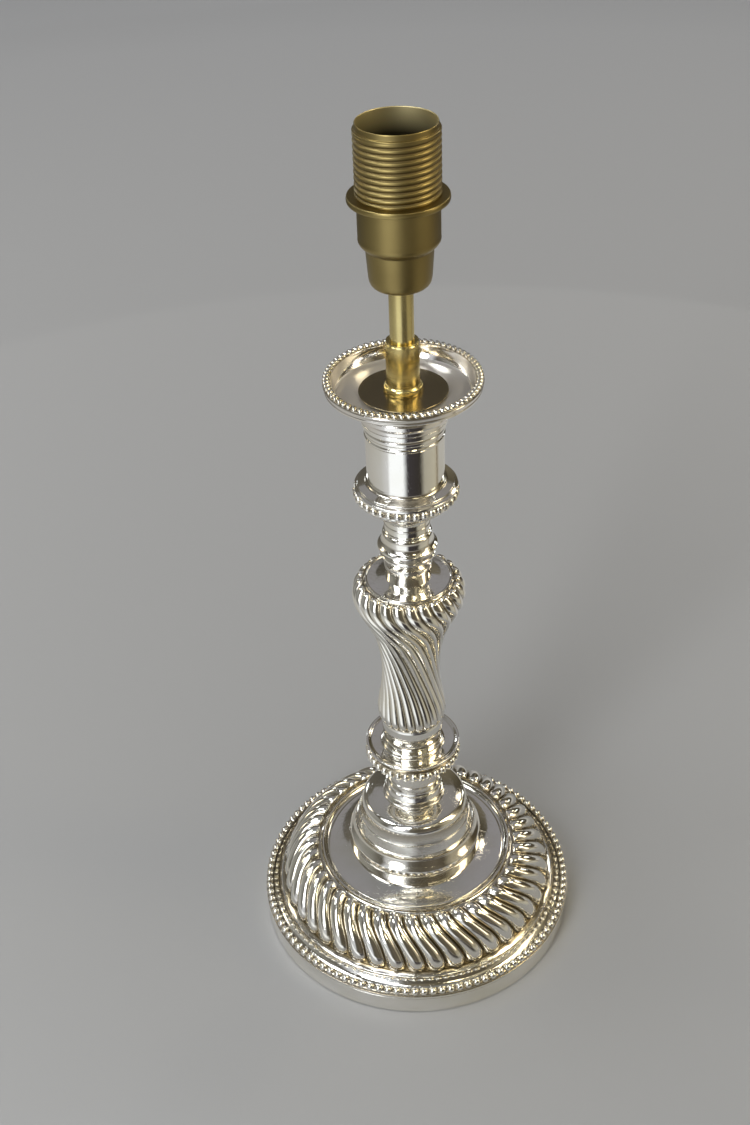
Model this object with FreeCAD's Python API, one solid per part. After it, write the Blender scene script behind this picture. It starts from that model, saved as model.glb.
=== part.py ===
import FreeCAD
import Part
import math
import os

# Candle lamp: a silver-plated baluster candlestick that carries a brass lampholder.
# The front faces -Y, +Z is up and the origin is the middle of the underside. Millimetres.
# Turned pieces are closed outlines of (radius, height) corners, turned about Z. A third
# number in a corner makes the stretch that ends there an arc: it is the arc's rise over
# half its chord, and a positive one swells to the right of the way travelled.

os.makedirs("parts", exist_ok=True)

# All pieces
overrun = 3.0           # how far a cutting solid runs past what it cuts
sheet = 0.9             # wall of the silver-plated sheet
slip = 0.1              # radial clearance of a piece that slides or turns in another
air = 0.3               # clearance of pieces that lie side by side
wire_r = 3.5            # bore up the stem for the two wires

# Foot
foot_r = 67.35          # plinth and flange
felt_t = 1.2            # felt pad
felt_proud = 0.3        # how far the felt stands below the plinth
cover_t = 1.0           # sheet cover under the ballast
plinth_h = 8.4          # plain wall of the plinth
flange_t = 1.2          # flange on the plinth
bead_d = 3.3            # bead border on the flange
well_r = 38.5           # flat well round the pedestal
well_rise = 21.3        # well above the flange
gadroon_lobes = 42      # swirling lobes between the well and the flange
gadroon_depth = 2.0     # grooves between the lobes
gadroon_sweep = 12.0    # degrees by which a lobe turns on its way out
ballast_bore_r = 8.0
cover_screw_r = 1.5
cover_screw_l = 8.0
cover_screws = 3
bushing_r = 2.8         # sleeve where the wires leave the foot
bushing_bore_r = 2.2
bushing_l = 9.0

# Pedestal
pedestal_r = 29.0       # widest part of the bell
bell_h = 31.7           # bell, from the well to its top
neck_r = 11.0           # neck over the bell
neck_h = 21.1

# Saucer knop
saucer_h = 17.3
saucer_r = 19.3         # thin lip of the saucer
saucer_bead_d = 3.1     # bead border under the lip
waist_r = 12.5          # collar where the vase meets the knop

# Vase
vase_collar_h = 5.0     # plain collar below the lobes
vase_h = 71.4           # from the collar to the plate on top
vase_r = 21.8           # widest point of the lobes
lobes = 24
lobe_depth = 1.15       # grooves at the widest point
lobe_sweep = 102.0      # degrees by which a lobe turns on its way down
lobe_start = 1.0        # angle of a lobe's upper end from the +X axis

# Upper knop
knop_h = 27.5
knop_foot_r = 8.7       # neck on the plate of the vase
knop_r = 11.4           # flange round the middle
knop_neck_r = 8.5       # neck below the candle socket

# Candle socket
socket_base_h = 14.4    # moulded underside, from the neck to the bead border
socket_lip_r = 18.95
socket_bead_d = 3.4
socket_r = 14.2         # plain cylinder
socket_h = 27.9         # from the lip to the top ring
cup_depth = 26.0
cup_r = 12.9            # bore of the socket

# Drip pan
pan_r = 28.1            # rim
pan_foot_h = 8.5        # cavetto under the pan
pan_floor_t = 1.2
pan_rise = 5.6          # rim above the floor
pan_bead_d = 3.1
nozzle_l = 22.0         # sleeve that drops into the socket

# Fitting in the nozzle
disc_r = 15.8
disc_t = 1.0
plug_l = 14.0
nut_r = 7.0             # across the corners
nut_t = 4.0
riser_r = 4.25
riser_bore_r = 3.25
riser_below = 1.5       # thread below the nut
ferrule_h = 19.2
ferrule_r = 5.87
ferrule_foot_r = 7.0
riser_show = 20.0       # bright tube between the ferrule and the lampholder

# Lampholder
cap_neck_h = 13.9       # narrow lower part of the cap
cap_neck_r = 11.4
cap_h = 29.5            # cap, up to the skirt's flange
cap_r = 13.6
cap_wall = 1.35
cap_floor_t = 4.5
cap_thread_l = 6.2      # neck of the cap inside the skirt
grub_r = 1.25
skirt_h = 25.7          # skirt above the cap
skirt_thread_r = 14.0   # thread for a shade ring
skirt_bore_r = 12.95
skirt_lead_r = 13.3     # plain lead above the thread
skirt_lead_l = 2.2
skirt_flange_r = 16.8
skirt_flange_t = 1.9
skirt_foot_t = 0.3
skirt_lip_t = 1.0       # lip that holds the insert down
skirt_lip_w = 1.6

# Porcelain insert and contacts
shell_r = 7.0           # inside radius of the screw shell
shell_t = 0.4
shell_l = 16.5
insert_floor_t = 2.5
insert_ledge_w = 1.8      # ledge that the screw shell stands on
insert_recess_h = 3.2   # room for the screws under the floor
key_w = 2.0             # key in the cap that keeps the insert from turning
key_h = 0.8
button_r = 2.2          # head of the centre contact
button_t = 1.2
button_stem_r = 1.2
button_travel = 1.2
terminal_r = 1.7
terminal_t = 1.1

# Heights of the seats, from the table up
z_felt = felt_t
z_cover = z_felt + cover_t
z_plinth = felt_proud
z_flange = z_plinth + plinth_h
z_border = z_flange + flange_t
z_well = z_border + well_rise
z_bell = z_well + bell_h
z_saucer = z_bell + neck_h
z_collar = z_saucer + saucer_h
z_vase = z_collar + vase_collar_h
z_knop = z_vase + vase_h
z_socket = z_knop + knop_h
z_lip = z_socket + socket_base_h
z_pan = z_lip + socket_h
z_floor = z_pan + pan_foot_h
z_disc = z_floor + pan_floor_t
z_ferrule = z_disc + disc_t
z_riser = z_ferrule + ferrule_h
z_cap = z_riser + riser_show
z_shelf = z_cap + cap_neck_h + cap_wall
z_skirt = z_cap + cap_h
z_insert_top = z_skirt + cap_thread_l + air
z_insert_floor = z_shelf + insert_recess_h
z_chamber = z_insert_floor + insert_floor_t
z_shell = z_chamber + button_travel + button_t + air


def between(start, end, share):
    """Value a share of the way from start to end."""
    return start + (end - start) * share


def spread(inner, outer, low, high, shares):
    """Corners at shares of the way from one radius to another and one height to another."""
    corners = []
    for radius_share, height_share, *bulge in shares:
        corners.append((between(inner, outer, radius_share), between(low, high, height_share), *bulge))
    return corners


def outline(corners):
    """Closed wire in the XZ plane through the corners, with an arc where one has a bulge."""
    edges = []
    for start, end in zip(corners[-1:] + corners[:-1], corners):
        a = FreeCAD.Vector(start[0], 0, start[1])
        b = FreeCAD.Vector(end[0], 0, end[1])
        if len(end) > 2:
            half = (b - a) / 2
            side = FreeCAD.Vector(half.z, 0, -half.x)
            edges.append(Part.Arc(a, a + half + side * end[2], b).toShape())
        else:
            edges.append(Part.LineSegment(a, b).toShape())
    return Part.Wire(edges)


def turned(corners):
    """Solid of revolution of the closed outline."""
    return Part.Face(outline(corners)).revolve(FreeCAD.Vector(), FreeCAD.Vector(0, 0, 1), 360)


def rod(radius, low, high, x=0, y=0):
    """Upright cylinder."""
    return Part.makeCylinder(radius, high - low, FreeCAD.Vector(x, y, low))


def tube(inner, outer, low, high):
    """Upright tube."""
    return rod(outer, low, high).cut(rod(inner, low - overrun, high + overrun))


def block(x_size, y_size, z_size, x, y, z):
    """Box centred on x and y that stands on z."""
    return Part.makeBox(x_size, y_size, z_size, FreeCAD.Vector(x - x_size / 2, y - y_size / 2, z))


def around(shape, count, start=0):
    """Copies of a shape, evenly spaced about Z."""
    copies = []
    for index in range(count):
        copy = shape.copy()
        copy.rotate(FreeCAD.Vector(), FreeCAD.Vector(0, 0, 1), start + 360 / count * index)
        copies.append(copy)
    return copies


def normals(points):
    """Unit normals of a run of (radius, height) points, to the left of the way travelled."""
    result = []
    for before, after in zip(points[:1] + points[:-1], points[1:] + points[-1:]):
        run = after[0] - before[0]
        rise = after[1] - before[1]
        size = math.hypot(run, rise)
        result.append((-rise / size, run / size))
    return result


def sunk(points, depths):
    """The points moved along their inward normals by the depths."""
    moved = []
    for point, normal, depth in zip(points, normals(points), depths):
        moved.append((point[0] - normal[0] * depth, point[1] - normal[1] * depth))
    return moved


def polar(point, degrees):
    """Place of a (radius, height) point at an angle from the +X axis."""
    angle = math.radians(degrees)
    return FreeCAD.Vector(point[0] * math.cos(angle), point[0] * math.sin(angle), point[1])


def lobed(crests, depths, turns, count):
    """Solid whose side is a round of swelling lobes with sharp grooves between them.

    Each crest point gives one scalloped ring of arcs, from groove over crest to groove.
    The ring's grooves lie below its crests by the depth, and the ring is turned by the turn.
    A depth of zero makes a plain circle, which closes the lobes off.
    """
    rings = []
    for crest, groove, turn in zip(crests, sunk(crests, depths), turns):
        arcs = []
        for index in range(count):
            start, middle, end = [turn + 360 / count * (index + step / 2) for step in (-1, 0, 1)]
            arcs.append(Part.Arc(polar(groove, start), polar(crest, middle), polar(groove, end)).toShape())
        rings.append(Part.Wire(arcs))
    return Part.makeLoft(rings, True, True)


def steady(share, start, end):
    """Eased share: the rate rises over the start, is steady, and falls off over the end."""
    if share < start:
        gone = share * share / start / 2
    elif share < 1 - end:
        gone = share - start / 2
    else:
        gone = 1 - start / 2 - end / 2 - (1 - share) * (1 - share) / end / 2
    return gone / (1 - start / 2 - end / 2)


def run_shares(points):
    """Share of the whole run's length that is gone at each point."""
    gone = [0.0]
    for before, after in zip(points[:-1], points[1:]):
        gone.append(gone[-1] + math.hypot(after[0] - before[0], after[1] - before[1]))
    return [length / gone[-1] for length in gone]


def save(name, shape):
    """Write one node."""
    shape.exportStep("parts/" + name + ".step")


# The foot stands on a felt pad, which covers a sheet that closes the ballast in.
inside_r = foot_r - sheet
cover_r = inside_r - slip
save("felt_pad", rod(cover_r - bead_d / 2, 0, z_felt))

screw_ring_r = well_r
screw_head_r = cover_screw_r * 2
head = turned([(0, z_felt), (screw_head_r, z_felt), (cover_screw_r, z_cover), (cover_screw_r, z_felt + cover_screw_l),
               (0, z_felt + cover_screw_l)])
head.translate(FreeCAD.Vector(screw_ring_r, 0, 0))
cover_screw_set = around(head, cover_screws, -90)
save("base_screws", Part.Compound(cover_screw_set))
cover = rod(cover_r, z_felt, z_cover)
for screw in cover_screw_set:
    cover = cover.cut(screw)
save("base_plate", cover)

# Plinth: a plain band with a hole at the back for the sleeve that the wires leave by.
bushing_z = (z_cover + z_flange) / 2
bushing_hole = Part.makeCylinder(bushing_r, bushing_l + overrun, FreeCAD.Vector(0, foot_r - bushing_l, bushing_z),
                                 FreeCAD.Vector(0, 1, 0))
bushing = Part.makeCylinder(bushing_r, bushing_l, FreeCAD.Vector(0, foot_r - bushing_l, bushing_z),
                            FreeCAD.Vector(0, 1, 0))
bushing = bushing.cut(Part.makeCylinder(bushing_bore_r, bushing_l + overrun * 2,
                                        FreeCAD.Vector(0, foot_r - bushing_l - overrun, bushing_z),
                                        FreeCAD.Vector(0, 1, 0)))
save("cord_bushing", bushing.common(rod(foot_r, z_plinth, z_flange)))
save("plinth_band", tube(inside_r, foot_r, z_plinth, z_flange).cut(bushing_hole))

# Foot: flange, ovolo and channel, then the swirling gadroons up to a raised line and the well.
ring_r = foot_r - bead_d
gadroon_r_shares = [0.114, 0.137, 0.184, 0.278, 0.395, 0.528, 0.654, 0.759, 0.814, 0.771]
gadroon_z_shares = [1.000, 1.047, 1.094, 1.094, 1.038, 0.915, 0.737, 0.493, 0.225, 0.155]
gadroon_depth_shares = [0.00, 0.45, 0.80, 0.95, 1.00, 1.00, 1.00, 1.00, 0.75, 0.00]
gadroon_turn_shares = [0.00, 0.01, 0.03, 0.10, 0.30, 0.60, 0.85, 0.97, 1.00, 1.00]
gadroon_crests = spread(well_r, ring_r, z_border, z_well, zip(gadroon_r_shares, gadroon_z_shares))
gadroon_depths = [gadroon_depth * share for share in gadroon_depth_shares]
gadroon_turns = [gadroon_sweep * share for share in gadroon_turn_shares]
foot = lobed(gadroon_crests, gadroon_depths, gadroon_turns, gadroon_lobes)

ovolo_shares = [(1.0, 0.0), (1.0, 0.03), (0.88, 0.19, 0.35), (0.857, 0.155), (0.7, 0.155)]
foot = foot.fuse(turned([(0, z_flange), (foot_r, z_flange), (foot_r, z_border)]
                        + spread(well_r, ring_r, z_border, z_well, ovolo_shares)
                        + [(0, between(z_border, z_well, ovolo_shares[-1][1]))]))
line_shares = [(0.125, 0.97), (0.125, 1.04), (0.11, 1.08), (0.085, 1.08), (0.06, 1.02), (0.0, 1.0)]
foot = foot.fuse(turned([(0, between(z_border, z_well, line_shares[0][1]))]
                        + spread(well_r, ring_r, z_border, z_well, line_shares) + [(0, z_well)]))
inner_depths = [depth + sheet for depth in gadroon_depths]
inner_run = sunk(gadroon_crests, inner_depths)[3:-1]
channel_z = between(z_border, z_well, ovolo_shares[-1][1]) - sheet
foot_room = ([(0, z_flange - overrun), (ring_r - sheet, z_flange - overrun), (ring_r - sheet, z_border),
              (between(well_r, ring_r, ovolo_shares[3][0]), channel_z), (inner_run[-1][0], channel_z)]
             + inner_run[::-1] + [(well_r, z_well - sheet), (0, z_well - sheet)])
well_hole_r = pedestal_r - sheet * 5
foot = foot.cut(turned(foot_room)).cut(rod(well_hole_r, z_well - sheet - overrun, z_well + overrun))
save("foot_shell", foot)

border_shares = [(0.0, 0.0), (1.0, 0.0), (1.0, 0.5), (0.75, 0.97), (0.25, 0.97), (0.0, 0.5)]
save("foot_bead", turned(spread(ring_r, foot_r, z_border, z_border + bead_d, border_shares)))

ballast_top = z_well - sheet - air
ballast_shares = [(0.99, 0.0), (0.99, 0.32), (0.94, 0.55), (0.86, 0.83), (0.79, 1.0)]
ballast_r = inner_run[-1][0] - air
ballast = turned([(ballast_bore_r, z_cover)] + spread(0, ballast_r, z_cover, ballast_top, ballast_shares)
                 + [(ballast_bore_r, ballast_top)])
ballast = ballast.cut(Part.makeCylinder(bushing_bore_r, foot_r, FreeCAD.Vector(0, 0, bushing_z),
                                        FreeCAD.Vector(0, 1, 0)))
for screw in cover_screw_set:
    ballast = ballast.cut(screw)
ballast = ballast.cut(bushing_hole)
save("ballast", ballast)

# Pedestal: a bell that tucks in under its widest part to the well, and draws in to a neck with fine rings.
bell_shares = [(0.84, 0.0), (0.985, 0.31, 0.16), (0.955, 0.335), (0.794, 0.483, -0.2), (0.794, 0.517), (0.756, 0.517),
               (0.628, 0.826), (0.472, 0.959, 0.35), (0.089, 1.0)]
neck_shares = [(0.0, 0.30), (0.0, 1.0)]
ring_run = [(between(neck_r, pedestal_r, 0.089), z_bell + neck_h * 0.11), (neck_r + sheet / 2, z_bell + neck_h * 0.26)]
bell_inner_shares = [(0.80, 0.0), (0.92, 0.22), (0.74, 0.46), (0.60, 0.80), (0.44, 0.93), (0.0, 0.96)]
pedestal = turned([(wire_r, z_bell - sheet)] + [(neck_r, z_bell - sheet)]
                  + spread(neck_r, pedestal_r - sheet, z_well, z_bell - sheet, bell_inner_shares)[-2::-1]
                  + spread(neck_r, pedestal_r, z_well, z_bell, bell_shares) + ring_run
                  + spread(neck_r, pedestal_r, z_bell, z_saucer, neck_shares) + [(wire_r, z_saucer)])
save("pedestal", pedestal)

# Saucer knop: a dished lip over a bead border, then a ringed waist.
saucer_shares = [(0.02, 0.0), (0.72, 0.105), (0.84, 0.25), (0.84, 0.42), (1.0, 0.50), (1.0, 0.53), (0.20, 0.475),
                 (0.19, 0.55), (0.10, 0.57), (0.10, 0.655), (0.0, 0.69), (0.0, 0.93), (0.17, 1.0)]
saucer = turned([(wire_r, z_saucer)] + spread(neck_r, saucer_r, z_saucer, z_collar, saucer_shares)
                + [(wire_r, z_collar)])
save("saucer_knop", saucer)
saucer_bead_in = between(neck_r, saucer_r, 0.84)
saucer_bead_low = between(z_saucer, z_collar, 0.12)
saucer_bead_high = between(z_saucer, z_collar, 0.42)
saucer_bead_out = saucer_bead_in + saucer_bead_d * 0.65
save("saucer_bead", turned([(saucer_bead_in, between(z_saucer, z_collar, 0.25)), (saucer_bead_in, saucer_bead_low),
                            (saucer_bead_out, between(saucer_bead_low, saucer_bead_high, 0.25)),
                            (saucer_bead_out, between(saucer_bead_low, saucer_bead_high, 0.75)),
                            (saucer_bead_in, saucer_bead_high)]))

# Vase: the lobes close under a double line at the top and over a plain collar at the bottom.
vase_r_shares = [0.790, 0.803, 0.890, 0.977, 1.000, 0.963, 0.858, 0.752, 0.656, 0.601, 0.560, 0.539, 0.534, 0.546,
                 0.573, 0.615, 0.638, 0.606, 0.560]
vase_z_shares = [0.975, 0.985, 0.970, 0.930, 0.890, 0.835, 0.765, 0.695, 0.625, 0.555, 0.485, 0.415, 0.345, 0.275,
                 0.205, 0.135, 0.065, 0.012, 0.000]
vase_depth_shares = [0.0, 0.5, 0.9, 1.0, 1.0, 1.0, 0.9, 0.8, 0.7, 0.65, 0.6, 0.6, 0.6, 0.6, 0.6, 0.65, 0.65, 0.4, 0.0]
vase_crests = spread(0, vase_r, z_vase, z_knop, zip(vase_r_shares, vase_z_shares))
vase_depths = [lobe_depth * share for share in vase_depth_shares]
vase_turns = [lobe_start + lobe_sweep * steady(share, 0.16, 0.30) for share in run_shares(vase_crests)]
vase = lobed(vase_crests, vase_depths, vase_turns, lobes)
plate_shares = [(0.79, 0.96), (0.79, 0.99), (0.77, 0.997), (0.75, 0.99), (0.70, 0.985)]
vase = vase.fuse(turned([(0, between(z_vase, z_knop, 0.96))] + spread(0, vase_r, z_vase, z_knop, plate_shares)
                        + [(knop_foot_r, z_knop), (0, z_knop)]))
collar_shares = [(0.96, 0.0), (1.0, 0.25), (1.0, 0.9), (0.97, 1.0)]
vase = vase.fuse(turned([(0, z_collar)] + spread(0, waist_r, z_collar, z_vase, collar_shares) + [(0, z_vase)]))
save("baluster", vase.cut(rod(wire_r, z_collar - overrun, z_knop + overrun)))

# Upper knop: a neck on the vase's plate, a flange, a body and the neck under the socket.
knop_shares = [(0.763, 0.0), (0.763, 0.19), (0.80, 0.21), (0.80, 0.25), (0.78, 0.27), (0.78, 0.36), (0.91, 0.41),
               (0.93, 0.44), (1.0, 0.53), (0.99, 0.57), (0.86, 0.60), (0.84, 0.68), (0.76, 0.77),
               (0.75, 0.85)]
upper_knop = turned([(wire_r, z_knop)] + spread(0, knop_r, z_knop, z_socket, knop_shares)
                    + [(knop_neck_r, z_socket), (wire_r, z_socket)])
save("upper_knop", upper_knop)

# Candle socket: an ogee underside, a bead border, stepped rings and the plain cylinder.
under_shares = [(0.0, 0.0), (0.12, 0.22, -0.2), (0.55, 0.42), (0.86, 0.62, 0.3), (0.86, 0.93), (1.0, 0.95)]
over_shares = [(1.0, 0.0), (0.75, 0.054), (0.10, 0.09), (0.02, 0.11), (0.0, 0.15), (0.0, 0.79), (0.04, 0.90),
               (0.23, 0.96), (0.23, 1.0)]
socket = turned([(0, z_socket)] + spread(knop_neck_r, socket_lip_r, z_socket, z_lip, under_shares)
                + spread(socket_r, socket_lip_r, z_lip, z_pan, over_shares) + [(0, z_pan)])
socket = socket.cut(rod(cup_r, z_pan - cup_depth, z_pan + overrun))
save("candle_socket", socket.cut(rod(wire_r, z_socket - overrun, z_pan + overrun)))
socket_bead_in = between(knop_neck_r, socket_lip_r, 0.86)
socket_bead_low = between(z_socket, z_lip, 0.66)
socket_bead_high = between(z_socket, z_lip, 0.93)
socket_bead_out = socket_bead_in + socket_bead_d * 0.65
save("socket_bead", turned([(socket_bead_in, socket_bead_low),
                            (socket_bead_out, between(socket_bead_low, socket_bead_high, 0.25)),
                            (socket_bead_out, between(socket_bead_low, socket_bead_high, 0.75)),
                            (socket_bead_in, socket_bead_high)]))

# Drip pan: its cavetto stands on the socket, and its nozzle drops into the cup.
nozzle_r = cup_r - slip * 2
nozzle_bore_r = nozzle_r - sheet
pan_foot_r = between(socket_r, socket_lip_r, 0.23)
pan_shares = [(0.0, 0.0), (0.10, 0.30, -0.3), (0.10, 0.85), (0.30, 1.0), (0.80, 1.12), (0.98, 1.45), (1.0, 1.66)]
dish_shares = [(0.90, 1.0), (0.885, 0.72), (0.835, 0.16), (0.80, 0.02)]
pan = turned([(nozzle_bore_r, z_pan - nozzle_l), (nozzle_r, z_pan - nozzle_l), (nozzle_r, z_pan)]
             + spread(pan_foot_r, pan_r, z_pan, z_floor, pan_shares)
             + spread(0, pan_r, z_disc, z_disc + pan_rise, dish_shares)
             + [(disc_r, z_disc), (nozzle_bore_r, z_disc)])
save("drip_pan", pan)
save("drip_pan_bead", turned(spread(pan_r - pan_bead_d, pan_r, z_disc + pan_rise, z_disc + pan_rise + pan_bead_d / 2,
                                    [(0.1, 0.0), (1.0, 0.0), (1.0, 0.3), (0.75, 0.8), (0.35, 0.8), (0.1, 0.3)])))

# Fitting: a plug in the nozzle, clamped by a nut on the riser, with a disc and a ferrule over it.
plug_low = z_disc - plug_l
save("socket_plug", tube(riser_r + slip, nozzle_bore_r - slip, plug_low, z_disc))
nut_low = plug_low - nut_t
nut_corners = [polar((nut_r, nut_low), 60 * index) for index in range(7)]
nut = Part.Face(Part.makePolygon(nut_corners)).extrude(FreeCAD.Vector(0, 0, nut_t))
save("plug_nut", nut.cut(rod(riser_r, nut_low - overrun, plug_low + overrun)))
disc_bore_r = riser_r + slip
save("cover_disc", turned([(disc_bore_r, z_disc), (disc_r * 0.93, z_disc), (disc_r, between(z_disc, z_ferrule, 0.4)),
                           (disc_r, z_ferrule), (disc_bore_r, z_ferrule)]))
ferrule_shares = [(0.0, 0.0), (1.0, 0.0), (1.0, 0.09), (0.55, 0.12), (0.55, 0.97), (0.50, 1.0)]
save("ferrule", turned([(riser_r + slip, z_ferrule)]
                       + spread(ferrule_foot_r - (ferrule_foot_r - ferrule_r) / 0.45, ferrule_foot_r, z_ferrule,
                                z_riser, ferrule_shares)[1:]
                       + [(riser_r + slip, z_riser)]))
riser_low = nut_low - riser_below
riser_top = z_cap + cap_floor_t
save("riser_tube", tube(riser_bore_r, riser_r, riser_low, riser_top))

# Lampholder's cap: screwed on the riser, with a shelf for the insert and a neck for the skirt.
cap_bore_r = cap_r - cap_wall
cap_neck_bore_r = cap_neck_r - cap_wall
cap_thread_r = skirt_bore_r - slip
cap_shares = [(0.45, 0.0), (0.86, 0.04), (0.93, 0.12), (1.0, 1.0)]
z_shoulder = z_cap + cap_neck_h
cap = turned([(riser_r, z_cap)] + spread(0, cap_neck_r, z_cap, z_shoulder, cap_shares)
             + [(cap_r - cap_wall / 2, z_shoulder + cap_wall / 2), (cap_r, z_shoulder + cap_wall * 2, 0.3),
                (cap_r, z_skirt), (cap_thread_r, z_skirt), (cap_thread_r, z_skirt + cap_thread_l),
                (cap_bore_r, z_skirt + cap_thread_l), (cap_bore_r, z_shelf), (cap_neck_bore_r - cap_wall, z_shelf),
                (cap_neck_bore_r - cap_wall, z_cap + cap_floor_t), (riser_r, z_cap + cap_floor_t)])
grub_z = z_cap + cap_floor_t / 2
grub_l = cap_neck_r - riser_r - cap_wall
grub = Part.makeCylinder(grub_r, grub_l, FreeCAD.Vector(0, riser_r, grub_z), FreeCAD.Vector(0, 1, 0))
cap = cap.cut(Part.makeCylinder(grub_r, cap_r, FreeCAD.Vector(0, 0, grub_z), FreeCAD.Vector(0, 1, 0)))
key_length = z_skirt + cap_thread_l - z_shelf
cap = cap.fuse(block(key_w, key_h * 2, key_length, 0, cap_bore_r - key_h + sheet / 2, z_shelf))
save("holder_cap", cap)
save("cap_grub_screw", grub)

# Skirt: turned brass with a flange, a shade thread and a lip over the insert.
groove_r = skirt_thread_r - sheet / 2
flange_low = z_skirt + skirt_foot_t
skirt_shares = [(groove_r, 0), (skirt_flange_r, 0), (skirt_flange_r, 1), (groove_r, 1)]
lip_low = z_insert_top
z_top = z_skirt + skirt_h
skirt = turned([(skirt_bore_r, z_skirt), (cap_r + sheet, z_skirt), (skirt_flange_r, flange_low),
                (skirt_flange_r, flange_low + skirt_flange_t), (groove_r, flange_low + skirt_flange_t),
                (groove_r, flange_low + skirt_flange_t * 1.5), (skirt_thread_r, flange_low + skirt_flange_t * 1.5),
                (skirt_thread_r, z_top - skirt_lead_l), (skirt_lead_r, z_top - skirt_lead_l), (skirt_lead_r, z_top),
                (skirt_bore_r, z_top), (skirt_bore_r, lip_low + skirt_lip_t),
                (skirt_bore_r - skirt_lip_w, lip_low + skirt_lip_t), (skirt_bore_r - skirt_lip_w, lip_low),
                (skirt_bore_r, lip_low)])
save("holder_skirt", skirt)

# Porcelain insert: stands on the cap's shelf, keyed to it, and carries the shell and the contacts.
insert_r = cap_bore_r - air
shell_out = shell_r + shell_t
seat_r = shell_out + slip
recess_r = insert_r - sheet * 3
terminal_x = recess_r - terminal_r - air
insert = turned([(recess_r, z_shelf), (insert_r, z_shelf), (insert_r, z_insert_top), (seat_r, z_insert_top),
                 (seat_r, z_shell), (seat_r - insert_ledge_w, z_shell), (seat_r - insert_ledge_w, z_chamber), (0, z_chamber),
                 (0, z_insert_floor), (recess_r, z_insert_floor)])
button_bore_r = button_stem_r + slip
insert = insert.cut(rod(button_bore_r, z_insert_floor - overrun, z_chamber + overrun))
insert = insert.cut(block(key_w + air * 2, key_h * 4, key_length + overrun * 2, 0, insert_r, z_shelf - overrun))
save("holder_insert", insert)
save("screw_shell", tube(shell_r, shell_out, z_shell, z_shell + shell_l))
button_low = z_insert_floor - button_travel
button_under = z_chamber + button_travel
save("centre_contact", rod(button_r, button_under, button_under + button_t).fuse(
    rod(button_stem_r, button_low, button_under)))
screw = rod(terminal_r, z_insert_floor - terminal_t, z_insert_floor, x=terminal_x)
save("terminal_screws", Part.Compound(around(screw, 2)))
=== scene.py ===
# %% [markdown]
# # A silver candlestick lamp
# The lamp is an old silver-plated candlestick with a small brass lampholder on a tube.
# Nearly every piece of it is turned or stamped round one axis, so this lesson makes it from
# profiles that are carried round that axis, and lets formulas add the flutes and the beads.
# The frame below is the lamp's construction: it says where each piece sits and what moves.

# %% Load the frame
import bpy
import math
import numpy as np
from mathutils import Matrix, Vector


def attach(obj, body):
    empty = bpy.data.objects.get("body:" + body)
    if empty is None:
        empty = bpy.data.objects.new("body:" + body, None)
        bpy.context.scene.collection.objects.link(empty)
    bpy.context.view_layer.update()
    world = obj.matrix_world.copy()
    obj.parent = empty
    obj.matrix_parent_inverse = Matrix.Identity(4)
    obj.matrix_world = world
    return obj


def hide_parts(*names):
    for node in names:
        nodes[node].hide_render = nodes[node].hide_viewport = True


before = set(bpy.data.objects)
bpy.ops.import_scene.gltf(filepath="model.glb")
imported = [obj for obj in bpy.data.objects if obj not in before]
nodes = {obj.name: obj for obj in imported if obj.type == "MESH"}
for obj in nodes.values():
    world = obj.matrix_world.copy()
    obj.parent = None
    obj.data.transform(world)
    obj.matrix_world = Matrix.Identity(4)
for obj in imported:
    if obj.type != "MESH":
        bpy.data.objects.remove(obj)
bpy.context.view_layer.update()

# %% [markdown]
# ## Profiles
# A turner thinks in profiles: radius against height. Here a profile is an array of corners
# (radius, height, rounding) in millimetres. Polished metal shows every edge as a bright line,
# and that line is the reflection in a small rounding, so each corner gets one. A flat band
# next to a rounding would look bent, because the shading blends from one to the other. One
# more point a little way out on each straight keeps the band flat.

# %% Rounded corners
MM = 0.001
ROUND_STEPS = 5         # points on one rounding
LARGEST_CUT = 0.36      # most of a straight that one rounding may take, as a share
SUPPORT = 1.35          # how far the flat band's own point lies from the corner, in roundings


def rounded(profile):
    """Closed run of (radius, height) points. A corner P becomes the curve
    (1-t)^2 A + 2t(1-t) P + t^2 B, where A and B lie back and ahead of P by its rounding."""
    spot, size = profile[:, :2], profile[:, 2:3]
    back, ahead = np.roll(spot, 1, 0) - spot, np.roll(spot, -1, 0) - spot
    back_len = np.linalg.norm(back, axis=1, keepdims=True)
    ahead_len = np.linalg.norm(ahead, axis=1, keepdims=True)
    cut = np.minimum(size, LARGEST_CUT * np.minimum(back_len, ahead_len))
    start, end = spot + back / back_len * cut, spot + ahead / ahead_len * cut
    t = np.linspace(0, 1, ROUND_STEPS)[None, :, None]
    curve = (1 - t) ** 2 * start[:, None] + 2 * t * (1 - t) * spot[:, None] + t ** 2 * end[:, None]
    before = spot + back / back_len * cut * SUPPORT
    after = spot + ahead / ahead_len * cut * SUPPORT
    runs = np.concatenate([before[:, None], curve, after[:, None]], axis=1)
    middle = ROUND_STEPS // 2 + 1
    keep = np.repeat(size > 0, ROUND_STEPS + 2, axis=1)
    keep[:, middle] = True
    runs[:, middle] = np.where(size > 0, runs[:, middle], spot)
    return runs[keep]


def corners(*rows, rounding=0.15):
    """Corners from (radius, height) or (radius, height, rounding) rows."""
    return np.array([row if len(row) == 3 else (*row, rounding) for row in rows], float)


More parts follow.
